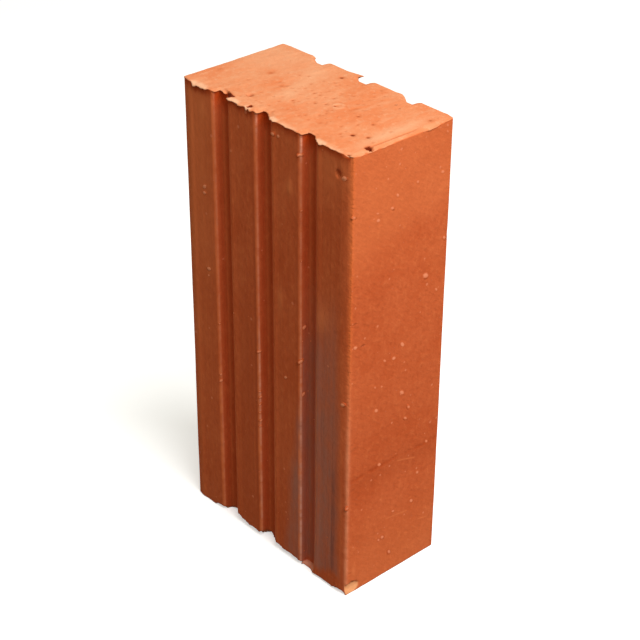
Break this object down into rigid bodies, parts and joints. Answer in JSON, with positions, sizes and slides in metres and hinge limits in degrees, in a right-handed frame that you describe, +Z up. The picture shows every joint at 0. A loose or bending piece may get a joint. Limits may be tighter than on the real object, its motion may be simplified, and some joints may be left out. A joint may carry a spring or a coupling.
{
  "type": "clay brick",
  "caption": "Solid fired clay brick with keying grooves along both wide faces, rounded long edges and wire-cut ends, standing on one end.",
  "frame": {"origin": "centre of the cut end that the brick stands on", "axes": "+Z up the length, +X across the width, +Y through the thickness, so the two grooved beds face -Y and +Y"},
  "size_m": [0.12, 0.065, 0.25],
  "materials": {
    "fired_clay": "matt unglazed fired clay, brick red on the extruded faces and paler orange on the wire-cut ends"
  },
  "bodies": {
    "root": {"brick": "fired_clay"}
  },
  "joints": []
}
